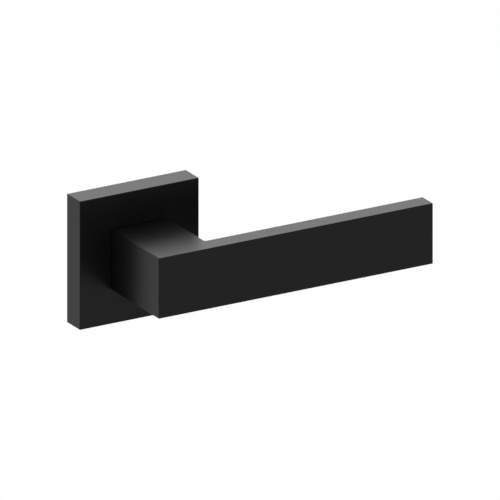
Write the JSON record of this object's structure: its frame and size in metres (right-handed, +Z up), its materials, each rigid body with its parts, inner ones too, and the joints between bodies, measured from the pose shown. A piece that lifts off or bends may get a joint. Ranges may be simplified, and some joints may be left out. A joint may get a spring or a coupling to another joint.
{
  "type": "door lever handle",
  "caption": "Square-section lever on a square sprung rose, one side of a door set, turning a square spindle and returned by a torsion spring.",
  "frame": {"origin": "where the spindle's axis crosses the door's face, which is the plane of the rose's back", "axes": "+Z up, +X along the lever towards its tip, -Y out of the door towards the user, +Y into the door along the spindle"},
  "size_m": [0.1335, 0.081, 0.052],
  "materials": {
    "black_coated_metal": "smooth satin black coating",
    "cast_zinc": "die-cast zinc alloy, dull grey",
    "turned_steel": "turned, fine lathe marks",
    "drawn_steel": "bright drawn bar",
    "blackened_steel": "black oxide",
    "pressed_steel": "pressed and tumbled",
    "zinc_plated_sheet": "bright zinc plate",
    "zinc_plated_steel": "bright zinc plate",
    "spring_steel": "oiled spring wire",
    "black_nylon": "moulded",
    "natural_nylon": "moulded, off-white",
    "black_rubber": "matt"
  },
  "bodies": {
    "lever": {"lever_handle": "black_coated_metal", "lever_hub": "turned_steel", "grub_screw": "blackened_steel", "spindle": "drawn_steel", "spring_driver": "pressed_steel"},
    "rose": {"rose_cover": "black_coated_metal", "cover_ring": "black_nylon", "lever_bush": "natural_nylon", "base_plate": "cast_zinc", "back_plate": "zinc_plated_sheet", "dished_washer": "spring_steel", "return_spring": "spring_steel", "handing_pin": "turned_steel", "plate_screws": "zinc_plated_steel", "left_bolt_post": "zinc_plated_steel", "right_bolt_post": "zinc_plated_steel", "left_stop_buffer": "black_rubber", "right_stop_buffer": "black_rubber", "upper_cover_clip": "spring_steel", "lower_cover_clip": "spring_steel"}
  },
  "joints": [
    {"name": "lever_turn", "type": "hinge", "parent": "rose", "child": "lever", "pos_m": [0, 0, 0], "axis": [0, 1, 0], "range_deg": [0, 45], "stiffness_Nm_per_rad": 0.12, "springref_deg": -91.67, "deforming": ["return_spring"]}
  ]
}
